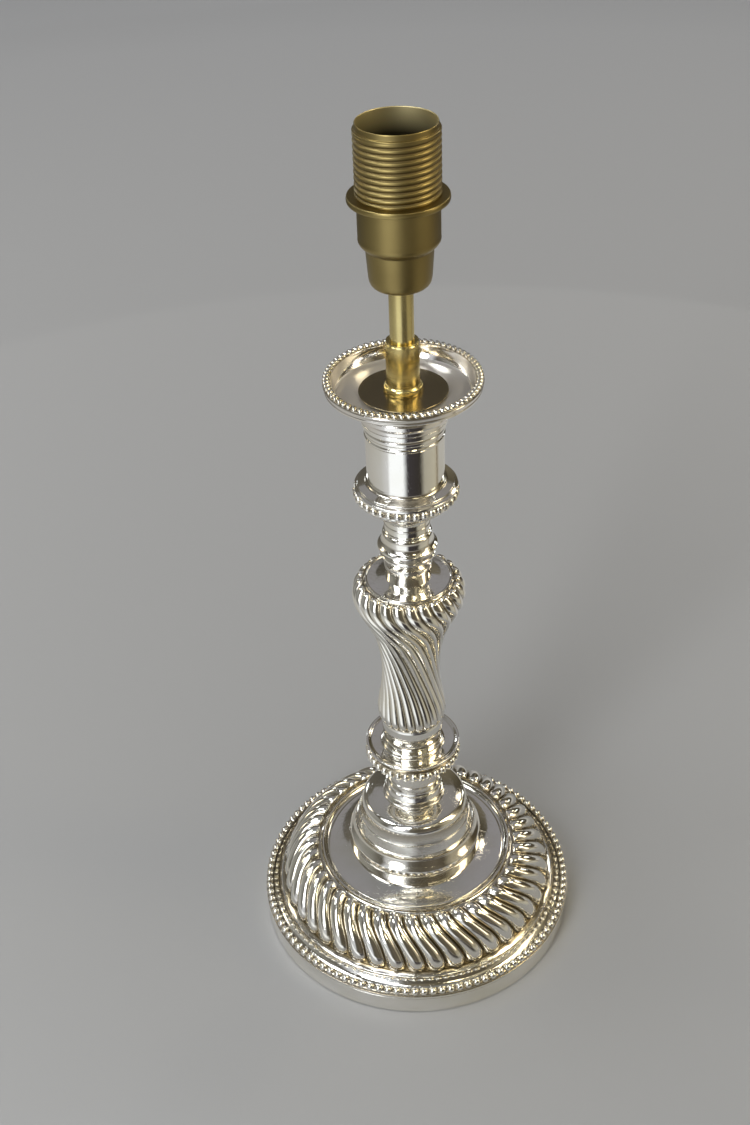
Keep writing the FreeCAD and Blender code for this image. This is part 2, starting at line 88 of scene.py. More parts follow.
def arc(start, end, bulge, steps):
    """Points on an arc between two (radius, height) places, ends included. The bulge b is its
    rise over half its chord, positive to the right of the way travelled. The arc takes up an
    angle of w = 2 atan(b) each way. For t from -1 to 1 a point lies sin(t w) / sin(w) along the
    half chord, and b (cos(t w) - cos(w)) / (1 - cos(w)) to its side."""
    start, end = np.array(start, float), np.array(end, float)
    half = (end - start) / 2
    side = np.array([half[1], -half[0]])
    angle = 2 * math.atan(bulge)
    t = np.linspace(-1, 1, steps)[:, None]
    across = np.sin(t * angle) / math.sin(angle)
    rise = (np.cos(t * angle) - math.cos(angle)) / (1 - math.cos(angle)) * bulge
    points = (start + end) / 2 + half * across + side * rise
    return np.hstack([points, np.zeros((len(points), 1))])


def through(points, steps):
    """Smooth run through (radius, height) points: a Catmull-Rom curve, one cubic per stretch,
    whose slope at each point is half the step from the point before to the point after."""
    points = np.asarray(points, float)
    ends = np.vstack([2 * points[0] - points[1], points, 2 * points[-1] - points[-2]])
    place = np.linspace(0, len(points) - 1, steps)
    k = np.minimum(place.astype(int), len(points) - 2)
    t = (place - k)[:, None]
    a, b, c, d = ends[k], ends[k + 1], ends[k + 2], ends[k + 3]
    run = 0.5 * (2 * b + (c - a) * t + (2 * a - 5 * b + 4 * c - d) * t ** 2
                 + (3 * b - a - 3 * c + d) * t ** 3)
    return np.hstack([run, np.zeros((steps, 1))])


print("a square has", len(rounded(corners((1, 0), (2, 0), (2, 1), (1, 1)))), "points once rounded")

# %% [markdown]
# ## Surfaces
# A surface is a grid of points: one way follows the profile, the other goes round the axis.
# Both ways close, so each piece is a solid ring with no edge. The whole grid is worked out as
# arrays and handed to the mesh in one go. The volume's sign tells whether the faces point out,
# and the grid is turned over if they don't. Old silver is dark where a cloth doesn't reach, so
# a value from 0 to 1 is kept at each point for the finish to read. Besides that tarnish, it
# holds the worn floor of the pan, and painted shade: deep in the lampholder, in part in the
# grooves of the lobes, and at the gadroons' lower ends.

# %% Grids and pieces
AROUND = 192            # steps round the axis of a wide piece
AROUND_TUBE = 96        # and of a narrow one
BEND_GAIN, BEND_START = 2.0, 0.1    # how fast an inner corner darkens with the sine of its turn
TINY = 1e-9


def lap(steps):
    """Angles of even steps once round the axis."""
    return np.linspace(0, 2 * math.pi, steps, endpoint=False)


def carried(radius, height, angle):
    """Points (r cos a, r sin a, z) of grids of radius, height and angle, spread to one size."""
    radius, height, angle = np.broadcast_arrays(radius, height, angle)
    return np.stack([radius * np.cos(angle), radius * np.sin(angle), height], -1).reshape(-1, 3)


def grid_faces(rows, columns):
    """Four-sided faces of a grid that closes both ways."""
    row, column = np.meshgrid(np.arange(rows), np.arange(columns), indexing="ij")
    next_row, next_column = (row + 1) % rows, (column + 1) % columns
    quads = [row * columns + column, row * columns + next_column,
             next_row * columns + next_column, next_row * columns + column]
    return np.stack(quads, -1).reshape(-1, 4)


def outward(points, faces):
    """The faces, turned over if the volume that they close, the sum of a . (b x c) over their
    triangles, comes out negative."""
    a, b, c, d = [points[faces[:, i]] for i in range(4)]
    volume = np.einsum("ij,ij->", a, np.cross(b, c)) + np.einsum("ij,ij->", a, np.cross(c, d))
    return faces if volume > 0 else faces[:, ::-1]


def linked(name, data):
    """A new object of the scene."""
    obj = bpy.data.objects.new(name, data)
    bpy.context.scene.collection.objects.link(obj)
    return obj


def piece(name, points, faces, material, body, patina_wear_and_shade):
    """A smooth mesh piece from points in millimetres, in place of the node of its name."""
    mesh = bpy.data.meshes.new(name + "_surface")
    mesh.from_pydata(points * MM, [], faces)
    mesh.polygons.foreach_set("use_smooth", np.ones(len(mesh.polygons), bool))
    # The stored value: tarnish and wear, and painted shade as well.
    tarnish_and_shade = mesh.attributes.new("patina_wear_and_shade", "FLOAT", "POINT")
    tarnish_and_shade.data.foreach_set("value", patina_wear_and_shade.astype(np.float32))
    mesh.update()
    mesh.materials.append(material)
    obj = linked(name + "_surface", mesh)
    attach(obj, body)
    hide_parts(name)
    print(f"{name}: {len(faces)} faces")
    return obj


def inner_corners(run):
    """How far a closed run bends inwards at each point, from the sine of its turn there: 1 where it
    bends inwards sharply, and 0 where it is flat or bends outwards."""
    back, ahead = run - np.roll(run, 1, 0), np.roll(run, -1, 0) - run
    turn = back[:, 0] * ahead[:, 1] - back[:, 1] * ahead[:, 0]
    size = np.linalg.norm(back, axis=1) * np.linalg.norm(ahead, axis=1) + TINY
    return np.clip(-turn / size * BEND_GAIN - BEND_START, 0, 1)


def turned(name, profile, material, around=AROUND):
    """A turned piece on the base: its rounded profile, carried round the axis."""
    run = rounded(profile)
    points = carried(run[:, :1], run[:, 1:], lap(around))
    faces = outward(points, grid_faces(len(run), around))
    return piece(name, points, faces, material, "base", np.repeat(inner_corners(run), around))


print("a ring takes", AROUND, "steps round the axis")

# %% [markdown]
# ## Finishes
# Five metals show: old silver plate, the more worn silver of the pan, satin antique gold on the
# lampholder, bright brass on the tube, and the dull brass of the disc. All are bare metals, so
# each is a fully metallic shader. What tells them apart is the tint, the roughness and the
# small unevenness. Two effects are shared: fine scratches from years of rubbing, and a slow
# wander between two tints. Each is a node group, built once.

# %% Node groups for scratches and tints


def group(name, inputs, outputs):
    """An empty shader node group with float or colour sockets, and its two end nodes."""
    tree = bpy.data.node_groups.new(name, "ShaderNodeTree")
    for label, kind, value in inputs:
        socket = tree.interface.new_socket(label, in_out="INPUT", socket_type=kind)
        socket.default_value = value
    for label, kind in outputs:
        tree.interface.new_socket(label, in_out="OUTPUT", socket_type=kind)
    return tree, tree.nodes.new("NodeGroupInput"), tree.nodes.new("NodeGroupOutput")


def node(tree, kind, links=(), **values):
    """A node with the named properties. Each (socket, value) pair links an output to the
    socket, or sets a constant on it."""
    made = tree.nodes.new(kind)
    for key, value in values.items():
        setattr(made, key, value)
    for key, value in links:
        if isinstance(value, bpy.types.NodeSocket):
            tree.links.new(value, made.inputs[key])
        else:
            made.inputs[key].default_value = value
    return made


FIRST_MIX, SECOND_MIX, MIXED = 6, 7, 2      # colour sockets of a mix node


def mix(tree, share, first, second):
    """Colour that goes from the first to the second by a share."""
    return node(tree, "ShaderNodeMix", [(0, share), (FIRST_MIX, first), (SECOND_MIX, second)],
                data_type="RGBA").outputs[MIXED]


def maths(tree, operation, *values):
    """One operation on two or three values. MULTIPLY_ADD is a b + c."""
    return node(tree, "ShaderNodeMath", enumerate(values), operation=operation).outputs[0]


FLOAT, COLOUR = "NodeSocketFloat", "NodeSocketColor"
SCRATCH_TURNS = ((0.4, 0.2, 0.3), (1.1, 0.7, 2.0), (2.2, 1.6, 0.9))
SCRATCH_FROM, SCRATCH_TO = 0.60, 0.78       # the noise between which a scratch fades in
TINT_FROM, TINT_TO = 0.35, 0.68             # and one tint gives way to the other

scratch_tree, scratch_in, scratch_out = group(
    "fine_scratches", [("Scale", FLOAT, 300.0), ("Stretch", FLOAT, 12.0)],
    [("Height", FLOAT), ("Mask", FLOAT)])
place = node(scratch_tree, "ShaderNodeTexCoord")
layers = []
for turn in SCRATCH_TURNS:
    stretch = node(scratch_tree, "ShaderNodeCombineXYZ",
                   [("X", scratch_in.outputs["Stretch"]), ("Y", 1.0), ("Z", 1.0)])
    turned_place = node(scratch_tree, "ShaderNodeMapping",
                        [("Vector", place.outputs["Object"]), ("Rotation", turn)])
    stretched = node(scratch_tree, "ShaderNodeVectorMath",
                     [(0, turned_place.outputs["Vector"]), (1, stretch.outputs["Vector"])],
                     operation="MULTIPLY")
    noise = node(scratch_tree, "ShaderNodeTexNoise",
                 [("Vector", stretched.outputs["Vector"]), ("Scale", scratch_in.outputs["Scale"]),
                  ("Detail", 3.0), ("Roughness", 0.6)])
    line = node(scratch_tree, "ShaderNodeMapRange",
                [("Value", noise.outputs["Fac"]), ("From Min", SCRATCH_FROM),
                 ("From Max", SCRATCH_TO)])
    layers.append(line.outputs["Result"])
both = maths(scratch_tree, "MAXIMUM", layers[0], layers[1])
every = maths(scratch_tree, "MAXIMUM", both, layers[2])
down = maths(scratch_tree, "MULTIPLY", every, -1.0)
scratch_tree.links.new(down, scratch_out.inputs["Height"])
scratch_tree.links.new(every, scratch_out.inputs["Mask"])

tint_tree, tint_in, tint_out = group(
    "wandering_tint", [("First", COLOUR, (1, 1, 1, 1)), ("Second", COLOUR, (1, 1, 1, 1)),
                       ("Scale", FLOAT, 40.0)],
    [("Color", COLOUR), ("Mask", FLOAT)])
place = node(tint_tree, "ShaderNodeTexCoord")
cloud = node(tint_tree, "ShaderNodeTexNoise",
             [("Vector", place.outputs["Object"]), ("Scale", tint_in.outputs["Scale"]),
              ("Detail", 4.0)])
share = node(tint_tree, "ShaderNodeMapRange",
             [("Value", cloud.outputs["Fac"]), ("From Min", TINT_FROM), ("From Max", TINT_TO)])
mixed = mix(tint_tree, share.outputs["Result"], tint_in.outputs["First"], tint_in.outputs["Second"])
tint_tree.links.new(mixed, tint_out.inputs["Color"])
tint_tree.links.new(share.outputs["Result"], tint_out.inputs["Mask"])
print("node groups:", [tree.name for tree in bpy.data.node_groups])

# %% [markdown]
# The metals then differ by a handful of numbers. Turned brass also shows rings from the tool,
# which are a noise squeezed along the height. The silvers, the golds and the disc's brass read
# the stored value of tarnish, wear and painted shade: towards 1 they take a darker tint and lose
# their shine.

# %% Metals
SCRATCH_ROUGH = 0.3                 # how much a full scratch roughens the metal
METAL_RELIEF = 0.0001               # metres that a bump height of 1 stands for
EVEN, RING_SQUEEZE = (1, 1, 1), (8, 8, 2600)
GRAIN_SCALE = 1500.0


def new_material(name):
    """A new material, with its node tree and its principled shader."""
    material = bpy.data.materials.new(name)
    material.use_nodes = True
    return material, material.node_tree, material.node_tree.nodes["Principled BSDF"]


def tinted(tree, first, second):
    """The node that wanders between two tints."""
    return node(tree, "ShaderNodeGroup", [("First", (*first, 1)), ("Second", (*second, 1))],
                node_tree=tint_tree)


def bumped(tree, shader, height, relief):
    """Bump by a height, of which 1 stands for a relief in metres."""
    bump = node(tree, "ShaderNodeBump",
                [("Strength", 1.0), ("Distance", relief), ("Height", height)])
    tree.links.new(bump.outputs["Normal"], shader.inputs["Normal"])


def metal(name, first, second, rough, rough_spread, scratch=0.2, wave=0.0, wave_scale=120.0,
          rings=0.0, grain=0.0, patina_wear_and_shade_colour=None, patina_wear_and_shade_rough=0.22):
    """A bare metal with two wandering tints, scratches and a slightly uneven face."""
    material, tree, shader = new_material(name)
    shader.inputs["Metallic"].default_value = 1.0
    tint = tinted(tree, first, second)
    lines = node(tree, "ShaderNodeGroup", node_tree=scratch_tree)
    colour = tint.outputs["Color"]
    roughness = node(tree, "ShaderNodeMapRange",
                     [("Value", tint.outputs["Mask"]), ("To Min", rough),
                      ("To Max", rough + rough_spread)]).outputs["Result"]
    roughness = maths(tree, "MULTIPLY_ADD", lines.outputs["Mask"], scratch * SCRATCH_ROUGH,
                      roughness)
    if patina_wear_and_shade_colour:
        # The stored value gives a darker tint and more roughness: tarnish and wear, and painted
        # shade.
        kept = node(tree, "ShaderNodeAttribute", attribute_name="patina_wear_and_shade").outputs["Fac"]
        colour = mix(tree, kept, colour, (*patina_wear_and_shade_colour, 1))
        roughness = maths(tree, "MULTIPLY_ADD", kept, patina_wear_and_shade_rough, roughness)
    tree.links.new(colour, shader.inputs["Base Color"])
    tree.links.new(roughness, shader.inputs["Roughness"])
    place = node(tree, "ShaderNodeTexCoord")
    height = maths(tree, "MULTIPLY", lines.outputs["Height"], scratch)
    for strength, scale, squeeze in ((wave, wave_scale, EVEN), (rings, 1.0, RING_SQUEEZE),
                                     (grain, GRAIN_SCALE, EVEN)):
        if strength:
            squeezed = node(tree, "ShaderNodeMapping",
                            [("Vector", place.outputs["Object"]), ("Scale", squeeze)])
            swell = node(tree, "ShaderNodeTexNoise",
                         [("Vector", squeezed.outputs["Vector"]), ("Scale", scale),
                          ("Detail", 2.0)])
            height = maths(tree, "MULTIPLY_ADD", swell.outputs["Fac"], strength, height)
    bumped(tree, shader, height, METAL_RELIEF)
    return material


# Silver's darker tint is tarnish in inner corners, partly tarnish and partly painted shade in the
# lobes' grooves, and painted shade at the gadroons' lower ends.
silver = metal("old_silver_plate", (0.90, 0.88, 0.84), (0.82, 0.79, 0.70), 0.05, 0.05, scratch=0.10,
               wave=0.45, wave_scale=130.0, patina_wear_and_shade_colour=(0.27, 0.21, 0.11))
pan_silver = metal("worn_pan_silver", (0.88, 0.85, 0.81), (0.80, 0.76, 0.68), 0.07, 0.05,
                   scratch=0.12, wave=0.45, wave_scale=90.0, patina_wear_and_shade_colour=(0.70, 0.67, 0.63),
                   patina_wear_and_shade_rough=0.42)
gold = metal("satin_antique_gold", (0.31, 0.24, 0.093), (0.25, 0.19, 0.073), 0.34, 0.06,
             scratch=0.05, grain=0.15, patina_wear_and_shade_colour=(0.13, 0.095, 0.04))
# Painted light and shade: the lampholder's inside gets a much paler gold than its outside, as if
# light fell on the bore's far wall, and its near-black tint darkens it deeper down as painted
# shade.
inner_gold_painted_light = metal("dull_gold_inside_painted_light_and_shade", (0.66, 0.57, 0.32), (0.58, 0.50, 0.27), 0.45, 0.08,
                   scratch=0.05, grain=0.15, patina_wear_and_shade_colour=(0.025, 0.02, 0.01))
bright_brass = metal("bright_turned_brass", (0.66, 0.55, 0.25), (0.60, 0.49, 0.21), 0.20, 0.06,
                     rings=0.3, scratch=0.08)
dull_brass = metal("dull_disc_brass", (0.34, 0.28, 0.17), (0.27, 0.22, 0.13), 0.20, 0.08,
                   scratch=0.06, patina_wear_and_shade_colour=(0.10, 0.08, 0.04))
steel = metal("plated_steel", (0.62, 0.62, 0.60), (0.54, 0.54, 0.52), 0.28, 0.10)
iron = metal("cast_iron", (0.12, 0.12, 0.12), (0.08, 0.07, 0.06), 0.60, 0.15, wave=3.0,
             wave_scale=900.0)
print("metals:", len(bpy.data.materials))

# %% [markdown]
# The rest is hidden or half hidden: porcelain in the lampholder, felt under the foot, a rubber
# plug and a black sleeve. They are not metals, so they get their own small shaders.

# %% Porcelain, felt and rubber


def plain(name, first, second, rough, bump_scale, bump_height, coat=0.0, sheen=0.0):
    """A non-metal with two wandering tints and a noise bump."""
    material, tree, shader = new_material(name)
    shader.inputs["Roughness"].default_value = rough
    shader.inputs["Coat Weight"].default_value = coat
    shader.inputs["Sheen Weight"].default_value = sheen
    tree.links.new(tinted(tree, first, second).outputs["Color"], shader.inputs["Base Color"])
    place = node(tree, "ShaderNodeTexCoord")
    noise = node(tree, "ShaderNodeTexNoise",
                 [("Vector", place.outputs["Object"]), ("Scale", bump_scale), ("Detail", 3.0)])
    bumped(tree, shader, noise.outputs["Fac"], bump_height)
    return material


porcelain = plain("glazed_porcelain", (0.86, 0.85, 0.80), (0.80, 0.78, 0.72), 0.18, 200.0, 0.00005,
                  coat=0.5)
felt = plain("green_felt", (0.035, 0.10, 0.05), (0.05, 0.13, 0.07), 0.95, 2500.0, 0.0004, sheen=0.4)
rubber = plain("black_rubber", (0.02, 0.02, 0.02), (0.035, 0.033, 0.03), 0.6, 900.0, 0.0001)

kept_nodes = {"felt_pad": felt, "base_plate": steel, "base_screws": steel, "ballast": iron,
              "cord_bushing": rubber, "socket_plug": rubber, "plug_nut": bright_brass,
              "cap_grub_screw": steel, "terminal_screws": steel, "holder_insert": porcelain,
              "screw_shell": bright_brass, "centre_contact": bright_brass}
for name, material in kept_nodes.items():
    nodes[name].data.materials.clear()
    nodes[name].data.materials.append(material)
print("nodes that keep their own mesh:", len(kept_nodes))

# %% [markdown]
# ## Bead borders
# Rows of small beads edge the foot, the knop, the socket and the pan. Each bead is a little
# ball pulled long or wide, and one mesh holds a whole row with the half-round strip that it is
# stamped on. The ball is worked out once and placed by broadcasting: every ball times every
# angle, in one sum.

# %% Rows of beads
BALL_ROWS, BALL_COLUMNS = 9, 12
FLANK_GAIN, FLANK_START = 1.4, 0.75     # how fast a bead darkens towards its flanks
STRIP_HOLLOW = 0.7                      # how dark the strip is between the beads


def ball():
    """Points and faces of a unit ball: rings of latitude, closed by a point at each pole."""
    lat = np.linspace(-math.pi / 2, math.pi / 2, BALL_ROWS)[1:-1, None]
    rings = carried(np.cos(lat), np.sin(lat), lap(BALL_COLUMNS))
    points = np.vstack([rings, [[0, 0, -1], [0, 0, 1]]])
    body = grid_faces(len(lat), BALL_COLUMNS)[:-BALL_COLUMNS]
    step = np.arange(BALL_COLUMNS)
    after = (step + 1) % BALL_COLUMNS
    low, high, top = len(rings), len(rings) + 1, len(rings) - BALL_COLUMNS
    caps = np.vstack([np.stack([step, np.full_like(step, low), after], -1),
                      np.stack([top + after, np.full_like(step, high), top + step], -1)])
    return points, body, caps


def bead_row(name, radius, height, size, count, strip, skew=0.0):
    """Beads of size (across, outward, up) at a radius and height, with their strip. A ball's
    point (u out, v across) goes to ((r + u) cos a - v sin a, (r + u) sin a + v cos a). The skew
    slants long beads: a point moves across by skew times how far out it is."""
    across, outwards, upwards = size
    unit, body, caps = ball()
    unit = unit * np.array([outwards, across, upwards]) / 2
    unit[:, 1] += skew * unit[:, 0]
    angle = lap(count)[:, None]
    out = radius + unit[None, :, 0]
    balls = np.stack([out * np.cos(angle) - unit[None, :, 1] * np.sin(angle),
                      out * np.sin(angle) + unit[None, :, 1] * np.cos(angle),
                      height + np.repeat(unit[None, :, 2], count, 0)], -1).reshape(-1, 3)
    shift = (np.arange(count) * len(unit))[:, None, None]
    ball_faces = (body[None] + shift).reshape(-1, 4)
    cap_faces = (caps[None] + shift).reshape(-1, 3)
    run = rounded(strip)
    ring = carried(run[:, :1], run[:, 1:], lap(AROUND))
    ring_faces = outward(ring, grid_faces(len(run), AROUND)) + len(balls)
    faces = ball_faces.tolist() + cap_faces.tolist() + ring_faces.tolist()
    side = np.abs(unit[:, 1]) / (across / 2)
    inner = np.clip(-unit[:, 0] / (outwards / 2), 0, 1)
    flank = np.clip(np.maximum(side, inner) * FLANK_GAIN - FLANK_START, 0, 1)
    patina_wear_and_shade = np.concatenate([np.tile(flank, count), np.full(len(ring), STRIP_HOLLOW)])
    piece(name, np.vstack([balls, ring]), faces, silver, "base", patina_wear_and_shade)


print("one bead has", len(ball()[1]) + len(ball()[2]), "faces")

# %% [markdown]
# ## Lobes
# Flutes and gadroons are rows of swelling lobes with sharp grooves between them. Across one
# lobe the height follows a half circle, sqrt(1 - x^2), with x running from -1 to 1. Towards a
# lobe's end the half circle closes like the end of a ball: sqrt(1 - x^2 - e^2), where e grows
# from 0 to 1. A power slims the half circle a little. The lobes swirl, so their angle moves on
# along the way. Columns crowd towards the grooves, where the surface is steepest.

# %% A fluted or gadrooned surface
LOBE_COLUMNS = 14
GROOVE_TOP, GROOVE_SPAN = 0.70, 0.60    # the swell at which the groove's dark starts, and its width
CREST_SHINE = 0.4                       # how much less dark a lobe's end is on its crest


def gone_and_left(run):
    """Share of the whole length that is gone at each point of a run, and the lengths gone and
    left there."""
    steps = np.linalg.norm(np.diff(run, axis=0), axis=1)
    gone = np.concatenate([[0], np.cumsum(steps)])
    share = gone / gone[-1]
    gone = share * steps.sum()
    return share, gone, steps.sum() - gone


def eased(share, start, end):
    """Climb from 0 to 1 at a rate that rises over the start, is steady, and falls off over the
    end. Where the rate changes, the climb is the square of the way over twice the stretch."""
    low = share ** 2 / start / 2
    middle = share - start / 2
    high = 1 - start / 2 - end / 2 - (1 - share) ** 2 / end / 2
    gone = np.where(share < start, low, np.where(share < 1 - end, middle, high))
    return gone / (1 - start / 2 - end / 2)


def closed(gone, left, first, last):
    """How far a lobe has closed: 1 at its ends, and 0 once a length away from each."""
    return np.clip(np.maximum(1 - gone / first, 1 - left / last), 0, 1)


def ramped(full, gone, left, first, last):
    """Rise along a lobe. Each end's (share, length) says at what share of the full rise it
    starts, and the length that a climb from nothing would take."""
    return (full * np.clip(first[0] + gone / first[1], 0, 1)
            * np.clip(last[0] + left / last[1], 0, 1))


def lobed(name, crest, rise, closing, turn, rest, count, start, sharp, tarnish_and_shade, end_shade):
    """A ring of lobes, the first of them at the start angle. The crest is a run of (radius,
    height) points, the rise is how far it stands over the grooves, closing is e, and turn is in
    degrees. The rest is the smooth run that closes the profile from the crest's end back to its
    start. The swell is (1 - x^2 - e^2) to the power sharp / 2. The next to last argument is how
    dark the grooves get, partly as tarnish and partly as painted shade, and the last is how dark
    each step of the way is all over, as painted shade."""
    slope = np.gradient(crest, axis=0)
    steepness = np.linalg.norm(slope, axis=1, keepdims=True)
    normal = np.stack([-slope[:, 1], slope[:, 0]], -1) / steepness
    base = crest - normal * rise[:, None]
    across = np.sin(np.linspace(-1, 1, LOBE_COLUMNS, endpoint=False) * math.pi / 2)
    swell = np.clip(1 - across[None] ** 2 - closing[:, None] ** 2, 0, 1) ** (sharp / 2)
    radius = base[:, :1] + normal[:, :1] * rise[:, None] * swell
    height = base[:, 1:] + normal[:, 1:] * rise[:, None] * swell
    pitch = 2 * math.pi / count
    centre = np.arange(count) * pitch + math.radians(start)
    angle = (centre[:, None] + across[None] * pitch / 2).ravel()
    lobes = np.stack([np.tile(radius, (1, count)), np.tile(height, (1, count)),
                      angle[None] + np.radians(turn)[:, None]], -1)
    back = np.linspace(turn[-1], turn[0], len(rest) + 2)[1:-1]
    smooth = np.stack(np.broadcast_arrays(rest[:, :1], rest[:, 1:2],
                                          angle[None] + np.radians(back)[:, None]), -1)
    grid = np.vstack([lobes, smooth])
    points = carried(grid[..., 0], grid[..., 1], grid[..., 2])
    faces = outward(points, grid_faces(len(grid), len(angle)))
    # Painted shade, partly tarnish: the grooves darken, and each step's end darkness darkens the
    # lobe all over, a little less on its crest.
    deep = np.maximum(tarnish_and_shade * np.clip((GROOVE_TOP - swell) / GROOVE_SPAN, 0, 1),
                      end_shade[:, None] * (1 - CREST_SHINE * swell))
    patina_wear_and_shade = np.concatenate([np.tile(deep, (1, count)).ravel(),
                             np.repeat(inner_corners(rest), len(angle))])
    piece(name, points, faces, silver, "base", patina_wear_and_shade)


print("columns round one lobe:", LOBE_COLUMNS)

# %% [markdown]
# ## The foot
# The foot is stamped from sheet: a flange, an ovolo and a channel, then forty-two gadroons
# that swirl up to a raised line, and a flat well. The plinth under it is a plain band.

# %% Plinth and foot
turned("plinth_band", corners((66.45, 0.3), (67.35, 0.3, 0.25), (67.35, 8.7, 0.2), (66.45, 8.7)),
       silver)

FOOT_LOBES, FOOT_TURN, FOOT_START = 42, 12.0, 0.0
FOOT_RISE, FOOT_RAMPS = 2.9, ((0.60, 12), (0.55, 8))
FOOT_CLOSING = (3.0, 4.2)               # lengths over which its ends close
FOOT_EASE = (0.35, 0.45)
# The gadroons' grooves darken, partly as tarnish and partly as painted shade.
FOOT_STEPS, FOOT_SHARP, FOOT_TARNISH_AND_SHADE = 76, 1.35, 1.0
# Painted shade at the gadroons' lower ends, and how far it reaches.
END_DARK, END_LENGTH = 1.15, 4.5        # dark of the gadroons' lower ends, and how far it reaches
crest_points = [(41.6, 31.9), (42.1, 32.7), (43.2, 33.3), (45.6, 33.3), (48.6, 32.2), (52.0, 29.7),
                (55.2, 25.8), (57.9, 20.5), (59.3, 15.4), (59.3, 13.6)]
foot_crest = through(crest_points, FOOT_STEPS)[:, :2]
share, gone, left = gone_and_left(foot_crest)
foot_closing = closed(gone, left, *FOOT_CLOSING)
foot_rise = ramped(FOOT_RISE, gone, left, *FOOT_RAMPS)
foot_turn = FOOT_TURN * eased(share, *FOOT_EASE)
# Painted shade: it grows over the last stretch of each gadroon and is full at its lower end.
foot_end_shade = np.clip(END_DARK - left / END_LENGTH, 0, 1)
foot_rest = rounded(np.vstack([
    corners((59.9, 13.3, 0.2), (60.4, 13.3, 0.2)), arc((61.0, 14.0), (64.05, 10.8), 0.3, 9),
    corners((64.05, 9.9, 0.2), (67.35, 9.9, 0.2), (67.35, 8.7, 0.1)),
    corners((63.1, 8.7), (63.1, 9.9), (60.2, 12.3), (56.4, 12.3), (55.2, 19.4), (52.8, 24.0),
            (50.0, 27.2), (47.4, 29.4), (45.3, 30.2), (40.0, 30.3), (24.5, 30.3), (24.5, 31.2),
            (26.5, 31.2), rounding=0),
    corners((38.5, 31.2, 0.6), (39.6, 31.9, 0.4), (40.2, 32.7, 0.3), (41.0, 32.7, 0.3),
            (41.3, 31.8, 0.1))]))
lobed("foot_shell", foot_crest, foot_rise, foot_closing, foot_turn, foot_rest, FOOT_LOBES,
      FOOT_START, FOOT_SHARP, FOOT_TARNISH_AND_SHADE, foot_end_shade)
bead_row("foot_bead", 65.68, 11.5, (3.5, 3.3, 3.3), 110,
         corners((64.2, 9.95), (67.1, 9.95), (66.9, 11.0, 0.4), (65.6, 11.6, 0.5),
                 (64.3, 11.0, 0.3)))

# %% [markdown]
# ## The pedestal and the saucer knop
# A bell stands on the well and draws in to a neck with fine rings. Above it comes a knop like
# a small saucer: a bead border hangs under its lip and its top is dished.

# %% Pedestal and saucer knop
pedestal = np.vstack([
    corners((24.8, 31.25), (38.2, 31.25, 0.03)), arc((38.1, 31.33), (28.6, 32.95), -0.085, 11),
    corners((28.2, 33.05, 0.12)), arc((28.25, 33.5), (28.35, 41.0), 0.13, 12),
    corners((28.2, 41.7, 0.25)), arc((27.7, 42.4), (25.2, 46.2), -0.15, 6),
    corners((25.3, 46.5), (25.3, 47.6, 0.25), (24.7, 47.9, 0.1), (23.75, 51.9, 0.3),
            (23.95, 52.15, 0.1), (23.85, 52.6, 0.1), (23.5, 52.7, 0.1)),
    arc((22.4, 57.0), (19.8, 61.2), 0.38, 9),
    corners((17.5, 61.9, 0.6), (13.0, 62.9), (13.0, 63.6, 0.2), (12.4, 63.8, 0.1),
            (12.2, 65.2, 0.1), (12.5, 65.4, 0.1), (12.5, 65.9, 0.1), (12.0, 66.1, 0.1),
            (11.5, 68.2, 0.1), (11.8, 68.4, 0.1), (11.8, 68.9, 0.1), (11.2, 69.2, 0.1),
            (11.0, 70.0, 0.2), (11.0, 72.9, 0.1), (11.3, 73.1, 0.1), (11.3, 73.6, 0.1),
            (11.0, 73.8, 0.1), (11.0, 84.0, 0.1), (3.5, 84.0), (3.5, 61.5), (18.0, 60.3),
            (21.5, 56.5), (24.0, 46.0), (26.6, 39.0))])
turned("pedestal", pedestal, silver)
saucer = np.vstack([
    corners((3.5, 84.0), (11.2, 84.0, 0.1)), arc((11.6, 84.2), (16.8, 85.8), 0.25, 7),
    corners((17.2, 86.4, 0.2), (17.0, 89.6, 0.3), (18.2, 91.0, 0.5), (19.3, 92.1, 0.3),
            (19.3, 93.0, 0.3), (18.5, 93.1, 0.3), (17.2, 92.4, 0.5), (13.2, 92.1, 0.3),
            (12.6, 92.4, 0.2), (12.6, 93.6, 0.3), (11.9, 93.9, 0.1), (11.8, 95.8, 0.3)),
    arc((11.2, 96.3), (11.3, 100.2), -0.10, 7),
    corners((11.9, 100.6, 0.2), (12.4, 101.3, 0.05), (3.5, 101.3))])
turned("saucer_knop", saucer, silver)
bead_row("saucer_bead", 18.35, 87.7, (3.15, 3.1, 3.5), 36,
         corners((16.9, 86.0), (18.2, 86.4, 0.3), (18.6, 87.7, 0.3), (18.3, 89.0, 0.3),
                 (16.9, 89.6)))

# %% [markdown]
# ## The vase
# The vase carries the lamp's finest work: twenty-four flutes that start as round tips under a
# double line on the shoulder, swirl through the waist by more than a quarter turn, and end as
# round tips over a plain collar. The lobes get narrower as the waist does, so their rise
# follows the radius.

# %% Vase
VASE_LOBES, VASE_TURN, VASE_START = 24, 102.0, 1.0
VASE_RISE_SHARE, VASE_RAMPS = 0.085, ((0.6, 8), (0.75, 8))
VASE_CLOSING = (3.4, 2.8)               # lengths over which its ends close
VASE_EASE = (0.16, 0.30)
